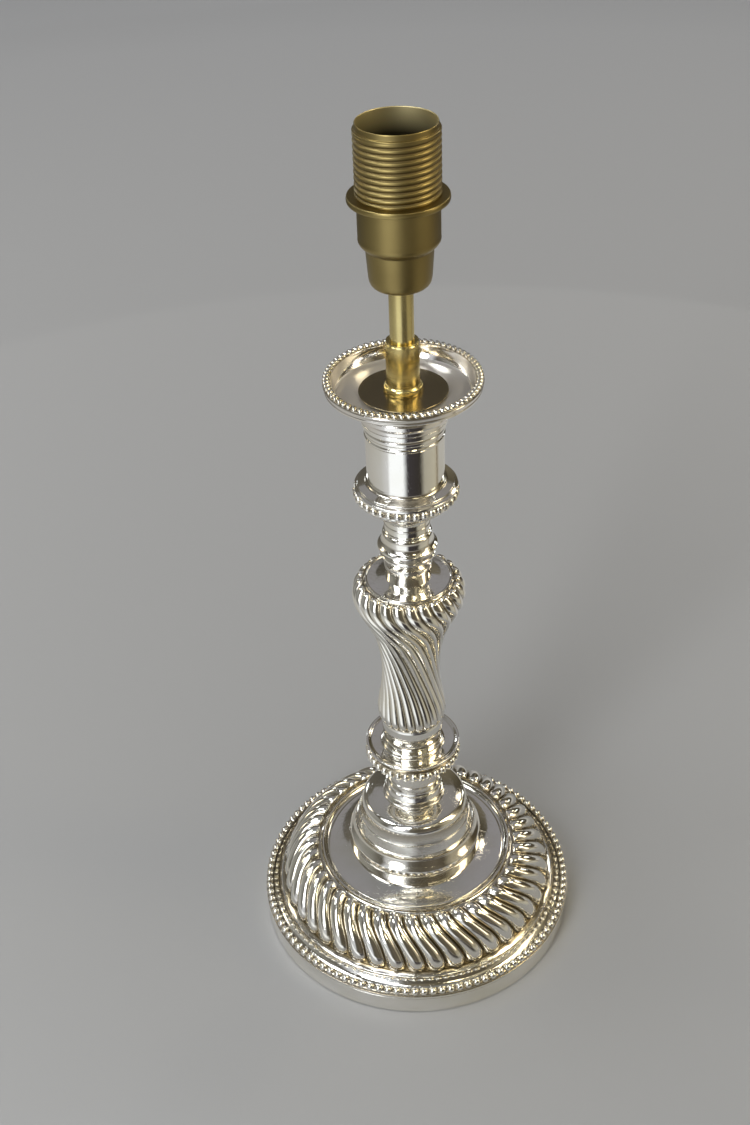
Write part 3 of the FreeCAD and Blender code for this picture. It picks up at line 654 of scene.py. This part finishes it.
# The flutes' grooves darken, partly as tarnish and partly as painted shade.
VASE_STEPS, VASE_SHARP, VASE_TARNISH_AND_SHADE = 150, 1.2, 0.75
vase_points = [(17.2, 176.9), (18.2, 176.9), (19.6, 176.0), (21.3, 173.2), (21.8, 170.0),
               (21.0, 166.0), (18.7, 161.0), (16.4, 156.0), (14.3, 151.0), (13.1, 146.0),
               (12.2, 141.0), (11.75, 136.0), (11.65, 131.0), (11.9, 126.0), (12.5, 121.0),
               (13.4, 116.0), (13.9, 111.0), (13.4, 107.6), (12.9, 106.4)]
vase_crest = through(vase_points, VASE_STEPS)[:, :2]
share, gone, left = gone_and_left(vase_crest)
vase_closing = closed(gone, left, *VASE_CLOSING)
vase_rise = ramped(vase_crest[:, 0] * VASE_RISE_SHARE, gone, left, *VASE_RAMPS)
vase_turn = VASE_TURN * eased(share, *VASE_EASE)
vase_rest = rounded(corners(
    (12.4, 106.2, 0.1), (12.5, 105.6, 0.2), (12.5, 102.4, 0.3), (12.2, 101.3, 0.1), (3.5, 101.3),
    (3.5, 177.7), (8.7, 177.7, 0.1), (12.5, 177.0, 0.8), (15.9, 176.9, 0.2), (16.2, 177.3, 0.1),
    (16.6, 177.3, 0.1), (16.8, 176.9, 0.05)))
lobed("baluster", vase_crest, vase_rise, vase_closing, vase_turn, vase_rest, VASE_LOBES,
      VASE_START, VASE_SHARP, VASE_TARNISH_AND_SHADE, np.zeros(len(vase_crest)))

# %% [markdown]
# ## The upper knop, the socket and the drip pan
# These are plain turned work. The pan drops into the socket as a candle's pan does. Its wall
# is bright but its floor is worn dull, and the stored darkening value marks the dull part here.

# %% Upper knop and candle socket
knop = np.vstack([
    corners((3.5, 177.7), (8.7, 177.7, 0.1), (8.7, 182.9, 0.2), (9.1, 183.2, 0.1),
            (9.1, 184.0, 0.15), (8.9, 184.4, 0.1)),
    arc((8.9, 185.0), (10.2, 188.2), -0.2, 6),
    corners((10.4, 188.6, 0.1), (10.5, 189.4, 0.15), (10.2, 189.7, 0.1), (11.0, 191.6, 0.3),
            (11.4, 192.4, 0.2), (11.3, 193.1, 0.2)),
    arc((10.9, 193.5), (9.6, 195.6), -0.22, 7),
    arc((9.6, 195.9), (9.2, 198.8), 0.10, 5),
    corners((8.7, 199.2, 0.2), (8.6, 199.4, 0.1), (8.8, 199.6, 0.1), (8.8, 200.1, 0.1),
            (8.5, 200.4, 0.1), (8.4, 202.3, 0.1), (8.7, 202.5, 0.1), (8.7, 203.0, 0.1),
            (8.5, 203.3, 0.1), (8.5, 205.2, 0.1), (3.5, 205.2))])
turned("upper_knop", knop, silver)
socket = np.vstack([
    corners((3.5, 205.2), (8.5, 205.2, 0.1)), arc((8.9, 206.6), (12.0, 210.2), -0.2, 7),
    arc((12.8, 210.7), (17.4, 213.6), 0.2, 7),
    corners((17.7, 214.4, 0.2), (17.6, 218.0, 0.2), (18.9, 218.4, 0.2), (18.95, 219.4, 0.2),
            (17.9, 219.9, 0.1), (17.75, 220.6, 0.2), (15.6, 221.3, 0.3)),
    arc((15.0, 221.5), (14.2, 222.9), -0.3, 5),
    corners((14.2, 223.4, 0.1), (14.2, 240.4, 0.1), (14.5, 240.9, 0.1), (14.5, 241.5, 0.1),
            (14.2, 241.9, 0.1), (14.2, 242.8, 0.1), (14.6, 243.3, 0.2), (14.6, 244.3, 0.2),
            (14.4, 244.7, 0.1), (15.3, 245.7, 0.3), (15.3, 247.45, 0.15), (12.9, 247.45, 0.1),
            (12.9, 221.6), (3.5, 221.6))])
turned("candle_socket", socket, silver)
bead_row("socket_bead", 18.1, 216.6, (3.2, 3.1, 3.5), 36,
         corners((17.4, 214.8), (18.0, 215.2, 0.2), (18.4, 216.5, 0.2), (18.1, 217.8, 0.2),
                 (17.4, 218.2)))

# %% Drip pan
pan = np.vstack([
    corners((11.8, 225.5), (12.7, 225.5), (12.7, 247.5), (15.3, 247.5, 0.15)),
    arc((15.5, 248.2), (16.4, 250.4), -0.3, 6),
    corners((16.9, 250.8, 0.1), (17.0, 252.4, 0.2), (16.6, 253.0, 0.1), (17.0, 254.6, 0.2)),
    arc((17.8, 255.4), (26.0, 258.8), 0.12, 7),
    corners((27.5, 259.5, 0.15), (27.75, 260.2, 0.25), (27.6, 260.7, 0.1), (28.1, 262.0, 0.2),
            (27.7, 262.7, 0.2), (25.5, 262.85, 0.15)),
    arc((25.3, 262.2), (24.4, 258.2), -0.10, 7),
    corners((23.9, 257.25, 0.5), (11.8, 257.2))])
PAN_FLOOR, FLOOR_REACH, PAN_BORE = 257.4, 0.5, 24.0    # the dull part's height and radius
drip_pan = turned("drip_pan", pan, pan_silver).data
spot = np.empty(len(drip_pan.vertices) * 3, np.float32)
drip_pan.vertices.foreach_get("co", spot)
spot = spot.reshape(-1, 3) / MM
from_axis = np.hypot(spot[:, 0], spot[:, 1])
on_floor = (from_axis < PAN_BORE) & (np.abs(spot[:, 2] - PAN_FLOOR) < FLOOR_REACH)
drip_pan.attributes["patina_wear_and_shade"].data.foreach_set("value", on_floor.astype(np.float32))
print("dull points on the pan's floor:", int(on_floor.sum()))
bead_row("drip_pan_bead", 26.6, 262.9, (2.3, 2.9, 2.1), 70,
         corners((25.2, 262.5), (28.0, 262.3, 0.1), (27.9, 262.8, 0.2), (26.6, 263.2, 0.3),
                 (25.3, 262.9, 0.2)), skew=0.45)

# %% [markdown]
# ## The brass
# A dull disc lies in the pan. A bright ferrule and a tube stand on it, and carry the
# lampholder.

# %% Disc, ferrule and tube
turned("cover_disc", corners((4.35, 257.25), (14.6, 257.25, 0.1), (15.7, 257.75, 0.1),
                             (15.8, 258.0, 0.12), (15.65, 258.2, 0.1), (4.35, 258.2)), dull_brass)
turned("ferrule", corners((4.35, 258.2), (6.9, 258.2, 0.15), (7.0, 258.9, 0.2), (6.7, 260.3, 0.4),
                          (5.95, 261.0, 0.2), (5.87, 262.2, 0.2), (5.87, 276.6, 0.1),
                          (5.6, 276.9, 0.1), (5.65, 277.4, 0.1), (4.35, 277.4)),
       bright_brass, around=AROUND_TUBE)
turned("riser_tube", corners((3.25, 237.7), (4.25, 237.7), (4.25, 301.9), (3.25, 301.9)),
       bright_brass, around=AROUND_TUBE)

# %% [markdown]
# The lampholder is in two halves: a cap screwed on the tube, and a skirt that screws on the
# cap, with a flange and a rolled thread for a shade ring. The thread is a height field: the
# radius follows a wave along the height, and the wave climbs by one pitch on each turn.

# %% Cap and skirt
cap = np.vstack([
    corners((4.25, 297.4), (5.2, 297.4, 0.2)), arc((8.2, 297.7), (10.4, 299.6), 0.3, 6),
    corners((10.65, 301.0, 0.4), (11.35, 311.2, 0.3), (11.9, 311.7, 0.2)),
    arc((12.6, 312.4), (13.6, 315.0), 0.3, 6),
    corners((13.6, 317.0, 0.3), (13.6, 326.85, 0.15), (12.85, 326.9, 0.1), (12.85, 333.1),
            (12.25, 333.1), (12.25, 312.65), (8.7, 312.65), (8.7, 301.9), (4.25, 301.9))])
turned("holder_cap", cap, gold)

THREAD_PITCH, THREAD_RADIUS, THREAD_DEPTH = 2.0, 14.0, 0.62
THREAD_LOW, THREAD_HIGH = 329.6, 350.3
FADE_LOW, FADE_HIGH = 0.5, 0.8          # lengths over which the thread runs in and out
THREAD_COLUMNS, ROWS_A_PITCH = 144, 12
GROOVE_SLIMMING = 1.6
BORE_RADIUS, FLANGE_TOP = 13.05, 333.5  # the outer reach of the bore, and where its inside starts
# Painted shade: the bore's inside darkens downwards between these two heights.
INSIDE_BRIGHT, INSIDE_DARK = 352.0, 343.8   # heights between which the bore goes dark


def threaded(name, below, above):
    """A profile whose middle stretch is a thread of depth d and pitch p. Its radius is
    R - d w f, with w = (1/2 - 1/2 cos 2 pi (z / p - a / 2 pi))^1.6 and a fade f at both ends."""
    lower, upper = rounded(below)[:-1], rounded(above)[1:]
    rows = int((THREAD_HIGH - THREAD_LOW) / THREAD_PITCH * ROWS_A_PITCH)
    crest = np.stack([np.full(rows, THREAD_RADIUS), np.linspace(THREAD_LOW, THREAD_HIGH, rows)], -1)
    run = np.vstack([lower, crest, upper])
    radius, height = run[:, :1], run[:, 1:]
    on_thread = np.repeat([0.0, 1.0, 0.0], [len(lower), rows, len(upper)])[:, None]
    angle = lap(THREAD_COLUMNS)
    fade = (np.clip((height - THREAD_LOW) / FADE_LOW, 0, 1)
            * np.clip((THREAD_HIGH - height) / FADE_HIGH, 0, 1) * on_thread)
    phase = height / THREAD_PITCH - angle / (2 * math.pi)
    wave = (0.5 - 0.5 * np.cos(2 * math.pi * phase)) ** GROOVE_SLIMMING
    points = carried(radius - THREAD_DEPTH * wave * fade, height, angle)
    faces = outward(points, grid_faces(len(run), THREAD_COLUMNS))
    # Painted light and shade: inside the bore the paler gold darkens downwards; outside, the
    # thread's grooves take the darker tint.
    depth = np.clip((INSIDE_BRIGHT - points[:, 2]) / (INSIDE_BRIGHT - INSIDE_DARK), 0, 1)
    within = np.hypot(points[:, 0], points[:, 1]) < BORE_RADIUS
    patina_wear_and_shade = np.where(within, depth, (wave * fade).ravel())
    made = piece(name, points, faces, gold, "skirt", patina_wear_and_shade)
    made.data.materials.append(inner_gold_painted_light)
    middle = points[faces].mean(axis=1)
    inside = (np.hypot(middle[:, 0], middle[:, 1]) < BORE_RADIUS) & (middle[:, 2] > FLANGE_TOP)
    made.data.polygons.foreach_set("material_index", inside.astype(np.int32))


below = corners((11.35, 333.4), (12.95, 333.4), (12.95, 326.95), (14.5, 326.95, 0.15),
                (16.7, 327.2, 0.3), (16.8, 328.2, 0.3), (16.6, 329.1, 0.3), (13.5, 329.15, 0.1),
                (13.5, 329.4, 0.1), (14.0, 329.5, 0))
above = corners((13.95, 350.4, 0), (13.85, 350.55, 0.05), (13.35, 350.7, 0.1), (13.25, 352.3, 0.2),
                (13.1, 352.58, 0.1), (12.95, 352.3, 0.15), (12.95, 348.0, 0), (12.95, 344.0, 0),
                (12.95, 340.0, 0), (12.95, 334.4), (11.35, 334.4))
threaded("holder_skirt", below, above)

# %% [markdown]
# ## Floor, light and camera
# The lamp stands on a pale floor, painted paler further out as painted light where the panels'
# light falls off. Polished silver shows mostly what is round it, so most
# of its look comes from there. Five soft panels light the floor and the lamp. Rings of glowing
# card then stand in for the room: they show in the metal alone, as pale and dark bands that
# change with the direction. Eight small bright cards give each bead and lobe its dots. The
# cards are real meshes, because a finish must not know where the viewer stands.

# %% Floor
HALF_FLOOR = 4.0
# Painted light: the floor's colour goes from darker near the lamp to paler further out, making up
# for the panels' light that falls off with distance.
NEAR_TONE, FAR_TONE = (0.45, 0.448, 0.44, 1), (0.76, 0.757, 0.75, 1)
TONE_FROM, TONE_TO = 0.1, 1.3           # distances between which the tone changes
SQUARE = ((-1, -1), (1, -1), (1, 1), (-1, 1))


def sheet(name, points, faces):
    """A mesh that isn't part of the lamp, and its material's tree and shader."""
    mesh = bpy.data.meshes.new(name)
    mesh.from_pydata(points, [], faces)
    material, tree, shader = new_material(name)
    mesh.materials.append(material)
    obj = linked(name, mesh)
    return obj, tree, shader


floor, floor_tree, floor_shader = sheet(
    "floor", [(HALF_FLOOR * x, HALF_FLOOR * y, 0) for x, y in SQUARE], [(0, 1, 2, 3)])
floor_shader.inputs["Roughness"].default_value = 0.7
floor_place = node(floor_tree, "ShaderNodeTexCoord")
floor_distance = node(floor_tree, "ShaderNodeVectorMath", [(0, floor_place.outputs["Object"])],
                      operation="LENGTH")
floor_share = node(floor_tree, "ShaderNodeMapRange",
                   [("Value", floor_distance.outputs["Value"]), ("From Min", TONE_FROM),
                    ("From Max", TONE_TO)])
floor_colour = mix(floor_tree, floor_share.outputs["Result"], NEAR_TONE, FAR_TONE)
floor_tree.links.new(floor_colour, floor_shader.inputs["Base Color"])
print(floor.name, "metres across:", 2 * HALF_FLOOR)

# %% Light
GREY_SKY = (0.235, 0.24, 0.25)
LAMP_MIDDLE = (0, 0, 0.17)
world = bpy.data.worlds.new("studio")
bpy.context.scene.world = world
world.use_nodes = True
sky = world.node_tree.nodes["Background"]
sky.inputs["Color"].default_value = (*GREY_SKY, 1)
sky.inputs["Strength"].default_value = 1.0


def round_place(azimuth, distance, height):
    """Places round the lamp: (d sin a, -d cos a, z) at azimuths a, in degrees from the front
    towards the right."""
    turn = np.radians(azimuth)
    return distance * np.sin(turn), -distance * np.cos(turn), height + 0 * turn


def panel(name, place, size, radiance, tint=(1, 1, 1)):
    """A soft light panel that faces the lamp. Its power is radiance times pi times area."""
    light = bpy.data.lights.new(name, "AREA")
    light.shape = "RECTANGLE"
    light.size, light.size_y = size
    light.energy = radiance * math.pi * size[0] * size[1]
    light.color = tint
    obj = linked(name, light)
    away = Vector(place) - Vector(LAMP_MIDDLE)
    obj.location = place
    obj.rotation_euler = away.to_track_quat("Z", "Y").to_euler()
    obj.visible_camera = False
    return obj


panel("tall_window", round_place(-32, 1.3, 0.75), (0.42, 1.2), 7.0, (0.96, 0.98, 1.0))
top_window = panel("top_window", (-0.5, 0.1, 1.8), (1.1, 0.9), 2.2)
top_window.visible_glossy = False
panel("warm_lamp", round_place(80, 1.2, 0.6), (0.3, 0.9), 2.2, (1.0, 0.86, 0.62))
panel("small_lamp_behind", (0.9, 1.0, 1.1), (0.22, 0.22), 6.0, (1.0, 0.90, 0.70))
panel("small_lamp_left", (-1.3, 0.5, 0.8), (0.2, 0.4), 3.5, (1.0, 0.93, 0.80))
print("lights:", len(bpy.data.lights))

# %% Rings that show in the metal
CARD_STEPS = 360
NEAR_FLOOR = (0.33, 0.328, 0.32)
LOW, HIGH, WALL_TOP = 0.001, 0.75, 1.15     # heights of the rings' edges
INNER, NEAR, MIDDLE, FAR = 0.13, 0.19, 0.62, 1.45


def card(name, points, faces, strength):
    """A glowing black card that shows only in the metal: it lights and shades nothing."""
    obj, tree, shader = sheet(name, points, faces)
    obj.visible_camera = obj.visible_diffuse = obj.visible_shadow = False
    shader.inputs["Base Color"].default_value = (0, 0, 0, 1)
    shader.inputs["Emission Strength"].default_value = strength
    return obj.data, tree, shader


def surround(name, rings, azimuths, colours, start):
    """A ring of card round the lamp. It glows with colours set by azimuth, and each of the
    rings (distance, height, share) takes that share of them over the start colour."""
    azimuth = np.linspace(-180, 180, CARD_STEPS, endpoint=False)
    channels = [np.interp(azimuth, azimuths, channel) for channel in zip(*colours)]
    colour = np.stack(channels, -1)
    points = np.vstack([np.stack(round_place(azimuth, distance, height), -1)
                        for distance, height, _ in rings])
    glow = np.vstack([np.asarray(start) * (1 - share) + colour * share for _, _, share in rings])
    faces = grid_faces(len(rings), CARD_STEPS)[:-CARD_STEPS]
    mesh, tree, shader = card(name, points, faces, 1.0)
    kept = mesh.attributes.new("glow", "FLOAT_COLOR", "POINT")
    opaque = np.hstack([glow, np.ones((len(glow), 1))])
    kept.data.foreach_set("color", opaque.astype(np.float32).ravel())
    shader.inputs["Specular IOR Level"].default_value = 0.0
    read = node(tree, "ShaderNodeAttribute", attribute_name="glow")
    tree.links.new(read.outputs["Color"], shader.inputs["Emission Color"])


low_azimuths = [-180, -110, -75, -52, -46, -8, 5, 42, 56, 90, 99, 102, 106, 114, 180]
low_colours = [(0.38, 0.37, 0.35), (0.46, 0.45, 0.42), (0.52, 0.52, 0.50), (0.66, 0.67, 0.69),
               (1.10, 1.15, 1.20), (1.10, 1.15, 1.20), (0.05, 0.045, 0.05), (0.04, 0.035, 0.03),
               (0.42, 0.40, 0.33), (0.50, 0.47, 0.38), (0.45, 0.41, 0.32), (0.15, 0.11, 0.06),
               (0.42, 0.39, 0.32), (0.48, 0.47, 0.44), (0.48, 0.47, 0.44)]
surround("floor_surround", [(INNER, LOW, 0.0), (NEAR, LOW, 1.0), (MIDDLE, LOW, 1.0)],
         low_azimuths, low_colours, NEAR_FLOOR)
far_azimuths = [-180, -125, -100, -70, -45, -28, -8, 10, 40, 52, 75, 100, 125, 180]
far_colours = [(0.10, 0.10, 0.10), (0.10, 0.10, 0.09), (0.16, 0.16, 0.15), (0.30, 0.30, 0.29),
               (0.60, 0.60, 0.59), (0.95, 0.96, 0.96), (0.75, 0.74, 0.72), (0.40, 0.39, 0.36),
               (0.30, 0.28, 0.25), (0.45, 0.42, 0.36), (0.34, 0.31, 0.25), (0.18, 0.16, 0.13),
               (0.10, 0.09, 0.08), (0.10, 0.10, 0.10)]
surround("far_floor_surround", [(MIDDLE, LOW, 1.0), (FAR, LOW, 1.0)], far_azimuths, far_colours,
         NEAR_FLOOR)
wall_azimuths = [-180, -150, -125, -100, -75, -56, -48, -18, -10, 5, 30, 46, 60, 95, 104, 112, 150,
                 165, 180]
wall_colours = [(0.06, 0.055, 0.045), (0.12, 0.11, 0.09), (0.16, 0.15, 0.13), (0.32, 0.32, 0.30),
                (0.26, 0.26, 0.24), (0.10, 0.09, 0.07), (0.60, 0.62, 0.66), (0.60, 0.62, 0.66),
                (0.14, 0.13, 0.11), (0.09, 0.08, 0.06), (0.13, 0.11, 0.08), (0.09, 0.075, 0.05),
                (0.40, 0.36, 0.26), (0.32, 0.28, 0.19), (0.09, 0.07, 0.04), (0.07, 0.055, 0.035),
                (0.07, 0.06, 0.04), (0.16, 0.14, 0.10), (0.06, 0.055, 0.045)]
surround("wall_surround", [(FAR, LOW, 1.0), (FAR, HIGH, 1.0), (FAR, WALL_TOP, 1.0)], wall_azimuths,
         wall_colours, GREY_SKY)
sky_azimuths = [-180, -120, -100, -76, -66, -56, -40, -34, -18, -12, -4, 6, 12, 36, 44, 54, 60, 90,
                100, 112, 125, 180]
sky_colours = [(0.27, 0.265, 0.275), (0.25, 0.25, 0.25), (0.10, 0.09, 0.07), (0.12, 0.11, 0.09),
               (0.36, 0.36, 0.37), (0.10, 0.09, 0.07), (0.12, 0.11, 0.09), (0.95, 0.97, 1.02),
               (1.00, 1.02, 1.06), (0.10, 0.09, 0.06), (0.20, 0.18, 0.13), (0.16, 0.14, 0.10),
               (0.12, 0.105, 0.07), (0.11, 0.095, 0.06), (0.46, 0.42, 0.30), (0.46, 0.41, 0.28),
               (0.07, 0.055, 0.035), (0.08, 0.065, 0.04), (0.36, 0.32, 0.22), (0.12, 0.10, 0.07),
               (0.25, 0.24, 0.24), (0.27, 0.265, 0.275)]
surround("sky_surround", [(FAR, WALL_TOP, 1.0), (1.15, 1.75, 1.0), (0.60, 2.1, 0.3)],
         sky_azimuths, sky_colours, GREY_SKY)
print("steps round a ring of card:", CARD_STEPS)

# %% Small bright cards
GLINT_DISTANCE = 1.1
WARM, COOL = (1.0, 0.90, 0.62), (0.90, 0.95, 1.0)


def glint(name, azimuth, elevation, width, strength, tint):
    """A small square card that faces the lamp and gives each bead and lobe end its own dot."""
    climb = math.radians(elevation)
    away = np.array(round_place(azimuth, math.cos(climb), math.sin(climb)))
    side = np.array(round_place(azimuth + 90, 1.0, 0.0)) * width / 2
    upright = np.cross(side, away)
    spots = [away * GLINT_DISTANCE + x * side + y * upright for x, y in SQUARE]
    shader = card(name, spots, [(0, 1, 2, 3)], strength)[2]
    shader.inputs["Emission Color"].default_value = (*tint, 1)


glints = ((-145, 22, 0.13, 7, COOL), (-112, 30, 0.13, 7, WARM), (-80, 60, 0.26, 12, COOL),
          (-18, 58, 0.15, 8, COOL), (28, 48, 0.13, 8, WARM), (80, 50, 0.26, 12, WARM),
          (118, 28, 0.13, 7, WARM), (132, 18, 0.13, 7, COOL))
for index, row in enumerate(glints):
    glint(f"glint_{index}", *row)
print("small bright cards:", len(glints))

# %% [markdown]
# The camera looks down on the lamp from the front, with a slight roll and turn. Its focal
# length is given in pixels of a picture 1125 pixels high.

# %% Camera
CAMERA_PLACE = (0, -0.4330, 0.5048)
PITCH, ROLL, YAW = math.radians(36.55), math.radians(-2.50), math.radians(-1.65)
FOCAL_PIXELS, IMAGE_HEIGHT = 1427.1, 1125
SENSOR = 36.0
camera_data = bpy.data.cameras.new("camera")
camera_data.sensor_fit = "AUTO"
camera_data.sensor_width = SENSOR
camera_data.lens = FOCAL_PIXELS / IMAGE_HEIGHT * SENSOR
camera_data.clip_start, camera_data.clip_end = 0.05, 20
camera = linked("camera", camera_data)
forward = np.array([math.sin(YAW) * math.cos(PITCH), math.cos(YAW) * math.cos(PITCH),
                    -math.sin(PITCH)])
level = np.array([math.cos(YAW), -math.sin(YAW), 0.0])
upward = np.cross(level, forward)
right = math.cos(ROLL) * level + math.sin(ROLL) * upward
up = -math.sin(ROLL) * level + math.cos(ROLL) * upward
rows = zip(right, up, -forward, CAMERA_PLACE)
camera.matrix_world = Matrix([*rows, (0, 0, 0, 1)])
bpy.context.scene.camera = camera
bpy.context.scene.view_settings.view_transform = "Standard"
print("lens in millimetres:", round(camera_data.lens, 2))
